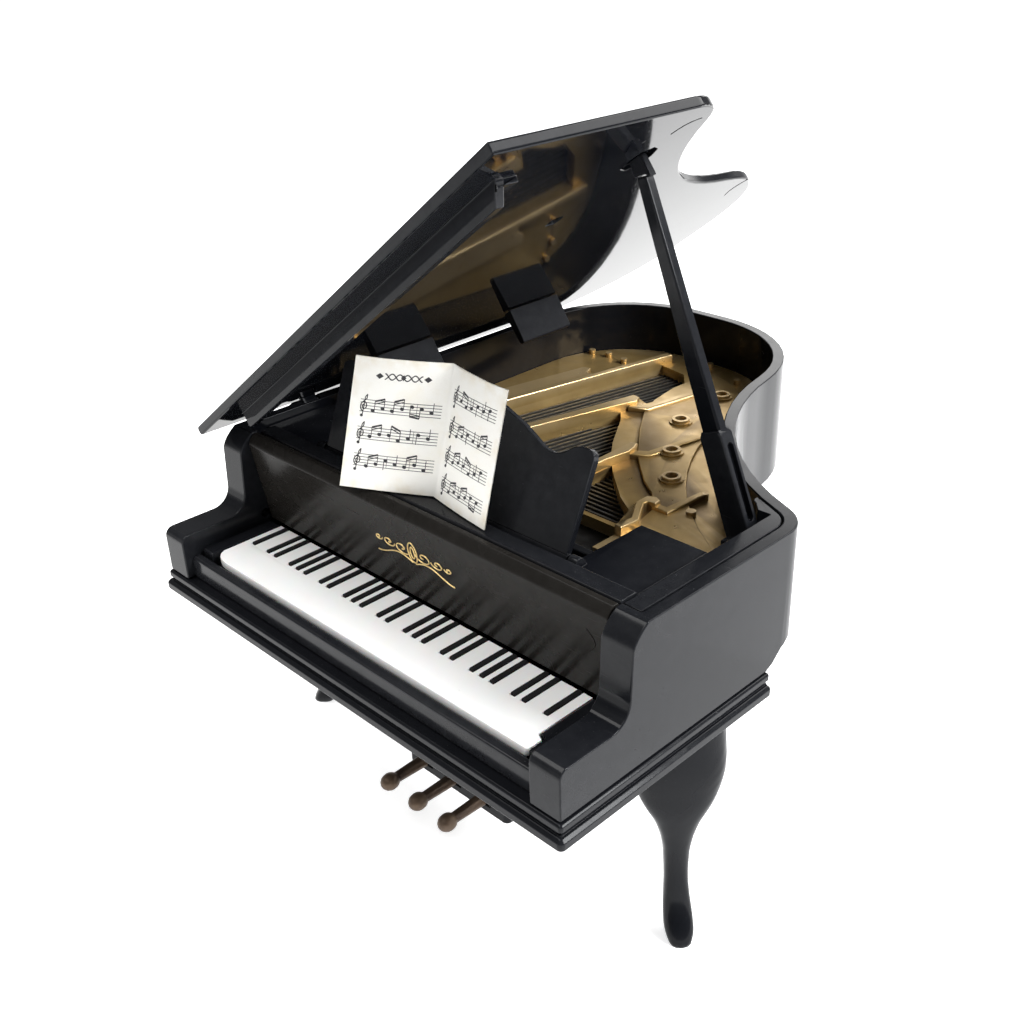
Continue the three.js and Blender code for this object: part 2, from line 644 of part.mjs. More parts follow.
// folded paper: two leaves meeting at the fold, leaning back against the desk
function makeScore() {
  const half = 0.28;
  const edge = [[-18.1, 19.3], [1.1, 29.4], [20, 26.3]];
  const leaves = shapeOf([
    ...edge.map(([x, y]) => [x, y - half]),
    ...edge.map(([x, y]) => [x, y + half]).reverse(),
  ]);
  const lean = new THREE.Matrix4().makeShear(0, 0, 0, 0, 0, SCORE_LEAN / SCORE_HEIGHT);
  return extrudeZ(leaves, 0, SCORE_HEIGHT).applyMatrix4(lean).translate(0, 0, CASE_TOP + GAP);
}

add('sheet_music', makeScore(), 0xf0ead9, 0, 0.8);

// ---- legs ----
const legRows = [
  [0, 11, 2.6, 3], [2, 10, 3.3, 3.4], [4, 8.9, 3.3, 3.2], [6, 7.6, 3.2, 3], [9, 6.2, 2.9, 2.8],
  [13, 5.2, 2.65, 2.7], [17, 4.7, 2.8, 2.8], [21, 4.5, 3, 3.1], [25, 4.5, 3.8, 3.4],
  [29, 4.5, 5.2, 3.9], [33, 4.4, 7.7, 4.4], [37, 3.8, 9.3, 5], [40, 3.3, 10.1, 5.6],
  [43, 2.6, 10.5, 6.1], [47, 1.3, 10.5, 6.6], [52.1, 0, 10.4, 7],
];

function makeLeg(x, y, angle, top) {
  const n = 14;
  const rows = top > 53 ? [...legRows, [top, 0, 10.4, 7]] : legRows;
  const rings = rows.map(([z, reach, lateral, depth]) => {
    const ring = [];
    for (let i = 0; i < n; i += 1) {
      const a = (2 * Math.PI * i) / n;
      const u = reach + depth * Math.sign(Math.cos(a)) * Math.abs(Math.cos(a)) ** 0.8;
      const v = lateral * Math.sign(Math.sin(a)) * Math.abs(Math.sin(a)) ** 0.8;
      ring.push([
        x + u * Math.cos(angle) - v * Math.sin(angle),
        y + u * Math.sin(angle) + v * Math.cos(angle),
        z,
      ]);
    }
    return ring;
  });
  return loft(rings);
}

satin('leg_front_right', makeLeg(55.1, 44.6, Math.atan2(-7, 8.5), 52.1));
satin('leg_front_left', makeLeg(-55.1, 44.6, Math.atan2(-7, -8.5), 52.1));
satin('leg_tail', makeLeg(-26, 134, Math.PI / 2, 62.2));

// ---- pedal lyre ----
function makeLyre() {
  const arms = [-1, 1].map((side) => {
    const path = new THREE.CatmullRomCurve3([
      new THREE.Vector3(side * 9, 35, 14),
      new THREE.Vector3(side * 10.4, 35.4, 22),
      new THREE.Vector3(side * 13.6, 36, 32),
      new THREE.Vector3(side * 12.4, 36.6, 42),
      new THREE.Vector3(side * 8.6, 37, 49),
    ]);
    return new THREE.ExtrudeGeometry(roundRect(-1.6, 1.6, -1.4, 1.4, 0.7), {
      extrudePath: path,
      steps: 10,
      bevelEnabled: false,
      curveSegments: 2,
    });
  });
  return join(
    ...arms,
    extrudeZ(roundRect(-14, 14, 31.6, 41.4, 1.6), 48, 52.1),
    extrudeZ(roundRect(-11.6, 11.6, 33.2, 37.2, 0.8), 13.6, 17.2),
    rodZ(16, 49, -2.4, 35.8, 0.6, 10),
    rodZ(16, 49, 2.4, 35.8, 0.6, 10),
  );
}

satin('pedal_lyre', makeLyre());

function makePedalBox() {
  const body = extrudeZ(roundRect(-17.7, 17.7, 30.8, 38.6, 1.6), 7.2, 14.8, 0.4);
  const slots = PEDALS_X.map((x) => box(x - 1.75, x + 1.75, 29, 36.6, 9.4, 16));
  const seat = extrudeZ(roundRect(-11.9, 11.9, 32.9, 37.5, 0.8), 13.3, 18);
  const bore = rodX(-16.2, 16.2, PEDAL_PIN_Y, PEDAL_Z - 0.3, 0.65, 12);
  return cut(body, ...slots, seat, bore);
}

satin('pedal_box', makePedalBox());
add('pedal_pin', rodX(-15.9, 15.9, PEDAL_PIN_Y, PEDAL_Z - 0.3, 0.35, 12), 0x8c8f93, 0.9, 0.3);

function makePedal(x) {
  const root = rodY(29, 35.8, x, PEDAL_Z, 1.4, 14);
  const arm = new THREE.CylinderGeometry(1.6, 1.3, 10.4, 14).translate(x, 24.6, PEDAL_Z);
  const tip = new THREE.SphereGeometry(2.2, 14, 10).scale(1, 1.15, 1).translate(x, 18.9, PEDAL_Z);
  return cut(join(root, arm, tip), rodX(x - 3, x + 3, PEDAL_PIN_Y, PEDAL_Z - 0.3, 0.65, 12));
}

['left', 'middle', 'right'].forEach((side, i) => {
  add(`pedal_${side}`, makePedal(PEDALS_X[i]), 0x3a2a1c, 0.55, 0.4);
});

// ---- fixing screws under the case ----
function screw(x, y, z, h) {
  const head = rodZ(z - h, z, x, y, 2.2, 18);
  const cross = [box(x - 1.4, x + 1.4, y - 0.25, y + 0.25, z - h - 1, z - h + 0.6)];
  cross.push(box(x - 0.25, x + 0.25, y - 1.4, y + 1.4, z - h - 1, z - h + 0.6));
  return cut(head, ...cross);
}

[[-34, 12], [34, 12], [-34, 52], [34, 52]].forEach(([x, y], i) => {
  add(`base_screw_${i + 1}`, screw(x, y, TRAY_BOTTOM - GAP, 1.4), 0x9a9c9f, 0.9, 0.35);
});
[[24, 76], [-48, 100], [-2, 140]].forEach(([x, y], i) => {
  add(`floor_screw_${i + 1}`, screw(x, y, FLOOR_Z - GAP, 1.4), 0x9a9c9f, 0.9, 0.35);
});

// ---- put the origin at the middle of the footprint, on the ground ----
const bounds = new THREE.Box3().setFromObject(group);
const shift = new THREE.Vector3(
  -(bounds.min.x + bounds.max.x) / 2, -(bounds.min.y + bounds.max.y) / 2, -bounds.min.z);
group.children.forEach((mesh) => mesh.geometry.translate(shift.x, shift.y, shift.z));
console.log('shift', shift.x.toFixed(3), shift.y.toFixed(3), shift.z.toFixed(3));

export default group;
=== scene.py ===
"""Looks for the miniature grand piano: moulded black plastic, gold plate, printed score."""

import json
import math

import bmesh
import bpy
from mathutils import Matrix, Vector


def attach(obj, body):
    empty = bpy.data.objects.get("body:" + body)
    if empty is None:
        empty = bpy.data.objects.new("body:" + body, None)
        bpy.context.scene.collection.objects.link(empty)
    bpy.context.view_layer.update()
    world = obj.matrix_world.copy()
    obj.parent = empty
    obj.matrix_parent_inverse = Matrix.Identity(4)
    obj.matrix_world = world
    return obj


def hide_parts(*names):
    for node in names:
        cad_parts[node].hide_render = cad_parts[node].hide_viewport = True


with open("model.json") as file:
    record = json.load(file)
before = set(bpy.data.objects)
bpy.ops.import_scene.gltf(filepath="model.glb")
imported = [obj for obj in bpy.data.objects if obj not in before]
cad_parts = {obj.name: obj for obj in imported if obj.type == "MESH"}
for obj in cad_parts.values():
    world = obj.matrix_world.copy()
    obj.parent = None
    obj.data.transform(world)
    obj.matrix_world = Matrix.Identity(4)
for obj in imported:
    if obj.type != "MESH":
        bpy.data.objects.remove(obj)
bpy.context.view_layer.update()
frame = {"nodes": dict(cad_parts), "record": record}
MM = 0.001
# the CAD frame is the case's own frame moved so that the footprint is centred
SHIFT = Vector((0.529, -81.328, 0.0))
RECORD = frame["record"]
BODY_OF = {n: body for body, names in RECORD["behaviour"]["bodies"].items() for n in names}


def at(x, y, z):
    """A point given in case millimetres, in the row frame."""
    return (Vector((x, y, z)) + SHIFT) * MM


# ---------------------------------------------------------------- node helpers
def new_material(name):
    mat = bpy.data.materials.new(name)
    mat.use_nodes = True
    return mat, mat.node_tree, mat.node_tree.nodes["Principled BSDF"]


def coords(nt, scale=(1, 1, 1), turn=(0, 0, 0)):
    """Object coordinates in millimetres, turned and then stretched."""
    tex = nt.nodes.new("ShaderNodeTexCoord")
    mapping = nt.nodes.new("ShaderNodeMapping")
    mapping.vector_type = "POINT"
    mapping.inputs["Rotation"].default_value = [math.radians(a) for a in turn]
    mapping.inputs["Scale"].default_value = [s / MM for s in scale]
    nt.links.new(tex.outputs["Object"], mapping.inputs["Vector"])
    return mapping.outputs["Vector"]


def noise(nt, vector, scale, detail=3.0, rough=0.5, warp=0.0):
    node = nt.nodes.new("ShaderNodeTexNoise")
    node.inputs["Scale"].default_value = scale
    node.inputs["Detail"].default_value = detail
    node.inputs["Roughness"].default_value = rough
    node.inputs["Distortion"].default_value = warp
    nt.links.new(vector, node.inputs["Vector"])
    return node.outputs["Fac"]


def ramp(nt, fac, *stops):
    """Colour ramp; every stop is (position, grey) or (position, (r, g, b))."""
    node = nt.nodes.new("ShaderNodeValToRGB")
    elements = node.color_ramp.elements
    while len(elements) < len(stops):
        elements.new(0.5)
    for element, (pos, value) in zip(elements, stops):
        element.position = pos
        rgb = value if isinstance(value, tuple) else (value, value, value)
        element.color = (*rgb, 1)
    nt.links.new(fac, node.inputs["Fac"])
    return node.outputs["Color"]


def calc(nt, op, a, b, clamp=True):
    node = nt.nodes.new("ShaderNodeMath")
    node.operation = op
    node.use_clamp = clamp
    for socket, value in zip(node.inputs, (a, b)):
        if isinstance(value, (int, float)):
            socket.default_value = value
        else:
            nt.links.new(value, socket)
    return node.outputs[0]


def blend_colour(nt, fac, a, b, mode="MIX"):
    node = nt.nodes.new("ShaderNodeMix")
    node.data_type = "RGBA"
    node.blend_type = mode
    for socket, value in zip((node.inputs["Factor"], node.inputs[6], node.inputs[7]), (fac, a, b)):
        if isinstance(value, tuple):
            socket.default_value = (*value, 1)
        elif isinstance(value, (int, float)):
            socket.default_value = value
        else:
            nt.links.new(value, socket)
    return node.outputs[2]


def bump(nt, bsdf, *layers):
    """Stacks (height, strength, distance in mm) layers into the shader's normal."""
    last = None
    for height, strength, distance in layers:
        node = nt.nodes.new("ShaderNodeBump")
        node.inputs["Strength"].default_value = strength
        node.inputs["Distance"].default_value = distance * MM
        nt.links.new(height, node.inputs["Height"])
        if last is not None:
            nt.links.new(last, node.inputs["Normal"])
        last = node.outputs["Normal"]
    nt.links.new(last, bsdf.inputs["Normal"])


def scratches(nt, turn, scale, low=0.70, high=0.74):
    """Sparse hairline marks along one direction."""
    lines = noise(nt, coords(nt, (0.06, 1.0, 1.0), turn), scale, 2.0, 0.6, 0.15)
    return ramp(nt, lines, (low, 0.0), (high, 1.0))


def facing_up(nt):
    geometry = nt.nodes.new("ShaderNodeNewGeometry")
    split = nt.nodes.new("ShaderNodeSeparateXYZ")
    nt.links.new(geometry.outputs["Normal"], split.inputs[0])
    return ramp(nt, split.outputs[2], (0.0, 0.08), (0.25, 0.3), (0.9, 1.0))


def edges(nt, low=0.51, high=0.56):
    geometry = nt.nodes.new("ShaderNodeNewGeometry")
    return ramp(nt, geometry.outputs["Pointiness"], (low, 0.0), (high, 1.0))


def hollows(nt, low=0.44, high=0.49):
    geometry = nt.nodes.new("ShaderNodeNewGeometry")
    return ramp(nt, geometry.outputs["Pointiness"], (low, 1.0), (high, 0.0))


# ---------------------------------------------------------------- materials
def plastic(name, dark, light, rough, dust=0.5, wave=0.35, shine=0.14, grit=0.1):
    """Moulded plastic: colour drift, smudges, hairline scratches, lint and rubbed edges."""
    mat, nt, bsdf = new_material(name)
    drift = noise(nt, coords(nt), 0.045, 4, 0.55)
    colour = blend_colour(nt, drift, dark, light)
    worn = calc(nt, "MULTIPLY", edges(nt), noise(nt, coords(nt), 0.35, 5, 0.65))
    worn = calc(nt, "MULTIPLY", worn, 0.35)
    colour = blend_colour(nt, worn, colour, tuple(c * 2.2 + 0.035 for c in light))
    speck = ramp(nt, noise(nt, coords(nt), 2.6, 2, 0.75), (0.735, 0.0), (0.765, 1.0))
    patch = ramp(nt, noise(nt, coords(nt), 0.06, 3, 0.6), (0.42, 0.1), (0.66, 1.0))
    lint = calc(nt, "MULTIPLY", calc(nt, "MULTIPLY", speck, patch), facing_up(nt))
    lint = calc(nt, "MULTIPLY", lint, dust)
    colour = blend_colour(nt, lint, colour, (0.34, 0.34, 0.35))
    nicks = noise(nt, coords(nt, (0.3, 1.0, 1.0), (20, 0, 35)), 1.25, 4, 0.8, 0.3)
    nicks = ramp(nt, nicks, (0.755, 0.0), (0.775, 1.0))
    nicks = calc(nt, "MULTIPLY", calc(nt, "MULTIPLY", nicks, patch), 0.6)
    colour = blend_colour(nt, nicks, colour, (0.4, 0.4, 0.4))
    nt.links.new(colour, bsdf.inputs["Base Color"])
    marks = calc(nt, "ADD", scratches(nt, (0, 0, 28), 1.5), scratches(nt, (40, 15, -52), 1.3))
    marks = calc(nt, "MULTIPLY", marks, patch)
    smudge = ramp(nt, noise(nt, coords(nt), 0.11, 5, 0.62, 0.6), (0.38, rough * 0.85), (0.68, rough * 1.25))
    gloss = calc(nt, "ADD", smudge, calc(nt, "MULTIPLY", marks, 0.22))
    gloss = calc(nt, "ADD", gloss, calc(nt, "MULTIPLY", lint, 0.5))
    nt.links.new(gloss, bsdf.inputs["Roughness"])
    bsdf.inputs["IOR"].default_value = 1.46
    bsdf.inputs["Specular IOR Level"].default_value = shine
    sag = noise(nt, coords(nt), 0.05, 1.5, 0.4)
    grain = noise(nt, coords(nt), 3.2, 3, 0.6)
    bump(nt, bsdf, (sag, wave, 0.9), (marks, 0.18, 0.03), (grain, grit, 0.03), (lint, 0.5, 0.05))
    return mat


def gold_paint():
    """Satin gold paint sprayed on moulded plastic, with painted shade in its recesses and a painted
    highlight along its edges.
    """
    mat, nt, bsdf = new_material("gold_paint")
    drift = noise(nt, coords(nt), 0.06, 5, 0.6)
    umber, ochre, straw = (0.36, 0.23, 0.078), (0.50, 0.335, 0.125), (0.60, 0.42, 0.175)
    colour = ramp(nt, drift, (0.3, umber), (0.55, ochre), (0.8, straw))
    # painted shade: concave recesses darkened to deep umber in the colour
    colour = blend_colour(nt, calc(nt, "MULTIPLY", hollows(nt), 0.8), colour, (0.11, 0.062, 0.024))
    # painted highlight: convex edges lightened to pale gold in the colour
    colour = blend_colour(nt, calc(nt, "MULTIPLY", edges(nt), 0.5), colour, (0.86, 0.66, 0.38))
    flake = noise(nt, coords(nt), 6.0, 2, 0.7)
    colour = blend_colour(nt, calc(nt, "MULTIPLY", flake, 0.14), colour, (0.8, 0.6, 0.3))
    nt.links.new(colour, bsdf.inputs["Base Color"])
    bsdf.inputs["Metallic"].default_value = 0.72
    gloss = ramp(nt, noise(nt, coords(nt), 0.2, 4, 0.6), (0.3, 0.27), (0.7, 0.46))
    nt.links.new(gloss, bsdf.inputs["Roughness"])
    bump(nt, bsdf, (noise(nt, coords(nt), 0.25, 3), 0.25, 0.25), (flake, 0.22, 0.03))
    return mat


def ridged_board():
    """Dull dark board with a painted highlight on its ridge tops."""
    mat, nt, bsdf = new_material("string_board")
    drift = noise(nt, coords(nt), 0.2, 4, 0.6)
    colour = blend_colour(nt, drift, (0.004, 0.0038, 0.0035), (0.011, 0.010, 0.0088))
    # painted highlight: ridge tops lightened in the colour
    colour = blend_colour(nt, calc(nt, "MULTIPLY", edges(nt), 0.3), colour, (0.045, 0.04, 0.034))
    nt.links.new(colour, bsdf.inputs["Base Color"])
    gloss = ramp(nt, noise(nt, coords(nt), 0.6, 4), (0.3, 0.42), (0.7, 0.66))
    nt.links.new(gloss, bsdf.inputs["Roughness"])
    bump(nt, bsdf, (noise(nt, coords(nt, (1, 0.1, 1)), 2.5, 2), 0.25, 0.05))
    return mat


def key_white():
    """White plastic with a trace of dirt in specks and painted shade in its concave corners."""
    mat, nt, bsdf = new_material("white_plastic")
    drift = noise(nt, coords(nt), 0.08, 4, 0.6)
    colour = blend_colour(nt, drift, (0.86, 0.86, 0.855), (0.94, 0.94, 0.935))
    # painted shade: the concave corners of the keys are darkened in the colour
    corner_shade = calc(nt, "MULTIPLY", hollows(nt, 0.46, 0.495), 0.5)
    colour = blend_colour(nt, corner_shade, colour, (0.42, 0.4, 0.36))
    speck = ramp(nt, noise(nt, coords(nt), 1.6, 3, 0.7), (0.74, 0.0), (0.78, 0.55))
    colour = blend_colour(nt, speck, colour, (0.45, 0.43, 0.4))
    nt.links.new(colour, bsdf.inputs["Base Color"])
    marks = scratches(nt, (0, 0, 8), 1.6, 0.68, 0.74)
    gloss = calc(nt, "ADD", calc(nt, "MULTIPLY", marks, 0.2), ramp(nt, drift, (0.3, 0.26), (0.7, 0.42)))
    nt.links.new(gloss, bsdf.inputs["Roughness"])
    bsdf.inputs["Subsurface Weight"].default_value = 0.12
    bsdf.inputs["Subsurface Scale"].default_value = 0.0006
    bump(nt, bsdf, (noise(nt, coords(nt), 0.12, 2), 0.15, 0.3), (marks, 0.15, 0.02))
    return mat


def bronze():
    """Dark bronze paint with a painted highlight along its edges."""
    mat, nt, bsdf = new_material("pedal_bronze")
    drift = noise(nt, coords(nt), 0.4, 5, 0.65)
    colour = ramp(nt, drift, (0.3, (0.035, 0.021, 0.013)), (0.7, (0.085, 0.053, 0.033)))
    # painted highlight: convex edges lightened in the colour
    colour = blend_colour(nt, calc(nt, "MULTIPLY", edges(nt), 0.4), colour, (0.17, 0.115, 0.075))
    nt.links.new(colour, bsdf.inputs["Base Color"])
    bsdf.inputs["Metallic"].default_value = 0.45
    nt.links.new(ramp(nt, noise(nt, coords(nt), 0.9, 4), (0.3, 0.36), (0.7, 0.58)), bsdf.inputs["Roughness"])
    bump(nt, bsdf, (noise(nt, coords(nt), 2.2, 4), 0.3, 0.05))
    return mat


def steel():
    """Drawn and plated steel with fine turning lines."""
    mat, nt, bsdf = new_material("plated_steel")
    colour = ramp(nt, noise(nt, coords(nt), 0.8, 4), (0.3, (0.36, 0.36, 0.37)), (0.7, (0.6, 0.6, 0.61)))
    nt.links.new(colour, bsdf.inputs["Base Color"])
    bsdf.inputs["Metallic"].default_value = 1.0
    nt.links.new(ramp(nt, noise(nt, coords(nt), 2.0, 4), (0.3, 0.25), (0.7, 0.5)), bsdf.inputs["Roughness"])
    bump(nt, bsdf, (noise(nt, coords(nt, (0.2, 1, 4)), 3.0, 3), 0.2, 0.02))
    return mat


def paper():
    """Cream card with fibres, yellowed along its edges."""
    mat, nt, bsdf = new_material("score_paper")
    fibre = noise(nt, coords(nt, (1, 1, 2.5)), 2.4, 6, 0.7)
    colour = blend_colour(nt, fibre, (0.86, 0.845, 0.79), (0.94, 0.93, 0.89))
    stain = ramp(nt, noise(nt, coords(nt), 0.16, 4, 0.6), (0.52, 0.0), (0.85, 0.4))
    colour = blend_colour(nt, stain, colour, (0.80, 0.72, 0.53))
    patches = ramp(nt, noise(nt, coords(nt), 0.3, 4), (0.4, 0.0), (0.7, 0.5))
    worn = calc(nt, "MULTIPLY", edges(nt, 0.51, 0.56), patches)
    colour = blend_colour(nt, worn, colour, (0.66, 0.55, 0.34))
    nt.links.new(colour, bsdf.inputs["Base Color"])
    nt.links.new(ramp(nt, fibre, (0.3, 0.62), (0.7, 0.85)), bsdf.inputs["Roughness"])
    bump(nt, bsdf, (noise(nt, coords(nt), 0.2, 2), 0.3, 0.3), (fibre, 0.2, 0.03))
    return mat


def ink(name, colour, metallic, rough):
    mat, nt, bsdf = new_material(name)
    patchy = noise(nt, coords(nt), 2.8, 4, 0.7)
    light = tuple(min(1, c * 1.5 + 0.01) for c in colour)
    nt.links.new(blend_colour(nt, patchy, colour, light), bsdf.inputs["Base Color"])
    bsdf.inputs["Metallic"].default_value = metallic
    nt.links.new(ramp(nt, patchy, (0.3, rough * 0.8), (0.7, rough * 1.25)), bsdf.inputs["Roughness"])
    bump(nt, bsdf, (patchy, 0.2, 0.02))
    return mat


INKY, COOL = (0.0030, 0.0034, 0.0046), (0.0062, 0.0068, 0.0088)
# painted reflection: the key cover's black is tinted brown for the brownish sheen seen in its glossy face
REFLECTION_BROWN, REFLECTION_BROWN_LIGHT = (0.0054, 0.0046, 0.0038), (0.0090, 0.0078, 0.0064)
GLOSS = plastic("black_gloss", INKY, COOL, 0.15, 0.5, 0.08, 0.15, 0.04)
SATIN = plastic("black_satin", (0.0045, 0.005, 0.006), (0.009, 0.0095, 0.011), 0.32, 0.25, 0.2)
LID = plastic("black_lid", INKY, COOL, 0.04, 0.3, 0.02, 0.12, 0.004)
COVER = plastic("black_cover", REFLECTION_BROWN, REFLECTION_BROWN_LIGHT, 0.25, 0.4, 0.04, 0.09, 0.02)
TAB = plastic("black_tab", INKY, COOL, 0.4, 0.3, 0.1, 0.05)
KEY_BLACK = plastic("black_key", (0.005, 0.005, 0.0055), (0.009, 0.009, 0.010), 0.34, 0.2, 0.1)
GOLD = gold_paint()
BOARD = ridged_board()
WHITE = key_white()
BRONZE = bronze()
STEEL = steel()
PAPER = paper()
PRINT = ink("score_ink", (0.018, 0.017, 0.02), 0.0, 0.6)
FOIL = ink("gold_foil", (0.62, 0.46, 0.2), 0.9, 0.32)


# ---------------------------------------------------------------- pieces from the frame's nodes
def link(obj, body, material):
    bpy.context.scene.collection.objects.link(obj)
    obj.data.materials.append(material)
    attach(obj, body)
    return obj


def weigh(obj):
    """Lets the large faces keep their own flat shading."""
    mod = obj.modifiers.new("normals", "WEIGHTED_NORMAL")
    mod.mode = "FACE_AREA"
    mod.weight = 100
    mod.thresh = 0.0
    mod.keep_sharp = True


def soften(obj, width, segments=2, limit=28):
    """Rounds the edges as a mould does."""
    mod = obj.modifiers.new("edge", "BEVEL")
    mod.width = width * MM
    mod.segments = segments
    mod.limit_method = "ANGLE"
    mod.angle_limit = math.radians(limit)
    mod.miter_outer = "MITER_ARC"
    mod.use_clamp_overlap = False
    weigh(obj)


def from_node(node, material, width=0.22, smooth=0, limit=28):
    """A finished piece shaped on a CAD node, which it stands for. Width 0 keeps its own chamfers."""
    bm = bmesh.new()
    bm.from_mesh(frame["nodes"][node].data)
    bmesh.ops.remove_doubles(bm, verts=bm.verts, dist=2e-6)
    if width:
        bmesh.ops.dissolve_limit(bm, angle_limit=math.radians(0.6), verts=bm.verts, edges=bm.edges)
    crease = bm.edges.layers.float.new("crease_edge")
    for edge in bm.edges:
        if edge.calc_face_angle(0.0) > math.radians(50):
            edge[crease] = 0.85 if smooth else 0.0
            edge.smooth = bool(smooth or width)
    for face in bm.faces:
        face.smooth = True
    mesh = bpy.data.meshes.new(node + "_finish")
    bm.to_mesh(mesh)
    bm.free()
    obj = bpy.data.objects.new(node + "_finish", mesh)
    link(obj, BODY_OF[node], material)
    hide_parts(node)
    if smooth:
        mod = obj.modifiers.new("round", "SUBSURF")
        mod.levels = smooth
        mod.render_levels = smooth
    elif width:
        soften(obj, width, limit=limit)
    else:
        weigh(obj)
    return obj


FINISH = {
    GLOSS: (
        ("case_rim", 0.35), ("key_bed", 0.18), ("liner_right", 0.2), ("front_rail", 0.25),
        ("shelf_panel_left", 0.18), ("shelf_panel_right", 0.18),
        ("key_block_left", 0.2), ("key_block_right", 0.2), ("key_slip", 0.2),
        ("lid_prop", 0.12), ("music_desk", 0.12),
    ),
    LID: (("lid_panel", 0.25),),
    TAB: (("lid_tab_front", 0.1), ("lid_tab_rear", 0.1), ("lid_catch", 0.15)),
    COVER: (("fallboard", 0.25),),
    SATIN: (
        ("bottom_board", 0.2), ("pin_block", 0.2), ("pedal_lyre", 0.15), ("pedal_box", 0.2),
    ),
    GOLD: (("iron_plate", 0),),
    BOARD: (("soundboard", 0.1),),
    WHITE: (("white_keys", 0.12),),
    KEY_BLACK: (("black_keys", 0.1),),
    BRONZE: (("pedal_left", 0.12), ("pedal_middle", 0.12), ("pedal_right", 0.12)),
    STEEL: (
        ("lid_hinge_pin_1", 0.06), ("lid_hinge_pin_2", 0.06), ("prop_pin", 0.12), ("pedal_pin", 0.06),
        ("base_screw_1", 0.15), ("base_screw_2", 0.15), ("base_screw_3", 0.15), ("base_screw_4", 0.15),
        ("floor_screw_1", 0.15), ("floor_screw_2", 0.15), ("floor_screw_3", 0.15),
    ),
}
# pieces whose own chamfers already round them; only their sharper corners are eased
CHAMFERED = ("lid_prop", "music_desk", "lid_tab_front", "lid_tab_rear")
for finish, parts in FINISH.items():
    for node_name, edge_width in parts:
        from_node(node_name, finish, edge_width, limit=50 if node_name in CHAMFERED else 28)
for node_name in ("leg_front_right", "leg_front_left", "leg_tail"):
    from_node(node_name, GLOSS, smooth=2)


# ---------------------------------------------------------------- printed score
# the fold's foot, the height the card stands at, the card's height and how far its top leans back
FOLD_X, FOLD_Y = 1.1, 29.4
SCORE_Z = 89.15
SCORE_H = 27.5
SCORE_LEAN = 7.6
# the outer foot corner of the left (-1) and right (1) leaf, and each leaf's width
PAGE_EDGE = {-1: (-18.1, 19.3), 1: (20.0, 26.3)}
PAGE_WIDTH = {s: math.hypot(e[0] - FOLD_X, e[1] - FOLD_Y) for s, e in PAGE_EDGE.items()}


def page_point(side, u, v, lift=0.0):
    """A point on a page: u mm outwards from the fold, v mm up the page, lift mm off its face."""
    edge = Vector(PAGE_EDGE[side])
    fold = Vector((FOLD_X, FOLD_Y))
    along = (edge - fold).normalized()
    t = v / SCORE_H
    s = u / PAGE_WIDTH[side]
    out = Vector((along.y, -along.x)) * (-side)
    belly = 0.75 * math.sin(math.pi * min(s, 1.0)) * (0.45 + 0.55 * t)
    curl = -0.55 * max(0.0, s - 0.8) * 5 * t * t
    flat = fold + along * u + out * (-(belly + curl) * 0.6)
    base = Vector((flat.x, flat.y + SCORE_LEAN * t, SCORE_Z + v))
    face = Vector((out.x, out.y, 0.0))
    return at(*(base + face * lift))


def toward_viewer(side):
    """Sign of lift that points to the printed face."""
    edge = Vector(PAGE_EDGE[side])
    along = (edge - Vector((FOLD_X, FOLD_Y))).normalized()
    out = Vector((along.y, -along.x)) * (-side)
    return 1.0 if out.y < 0 else -1.0


def make_leaves():
    """Both leaves as one folded card, thin and closed."""
    cols, rows, half = 12, 12, 0.13
    bm = bmesh.new()
    grid = []
    for i in range(-cols, cols + 1):
        side = -1 if i < 0 else 1
        u = PAGE_WIDTH[side] * abs(i) / cols
        u = max(u, 0.02)
        face = toward_viewer(side)
        column = []
        for j in range(rows + 1):
            v = SCORE_H * j / rows
            front = bm.verts.new(page_point(side, u, v, face * half))
            back = bm.verts.new(page_point(side, u, v, -face * half))
            column.append((front, back))
        grid.append(column)
    for a, b in zip(grid, grid[1:]):
        for j in range(rows):
            bm.faces.new((a[j][0], b[j][0], b[j + 1][0], a[j + 1][0]))
            bm.faces.new((a[j][1], a[j + 1][1], b[j + 1][1], b[j][1]))
        bm.faces.new((a[0][0], a[0][1], b[0][1], b[0][0]))
        bm.faces.new((a[-1][0], b[-1][0], b[-1][1], a[-1][1]))
    for column, flip in ((grid[0], False), (grid[-1], True)):
        for (f0, b0), (f1, b1) in zip(column, column[1:]):
            bm.faces.new((f0, b0, b1, f1) if flip else (f0, f1, b1, b0))
    bmesh.ops.recalc_face_normals(bm, faces=bm.faces)
    for face in bm.faces:
        face.smooth = True
    mesh = bpy.data.meshes.new("score_leaves")
    bm.to_mesh(mesh)
    bm.free()
    obj = bpy.data.objects.new("score_leaves", mesh)
    link(obj, "score", PAPER)
    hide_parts("sheet_music")
    weigh(obj)
    return obj


make_leaves()


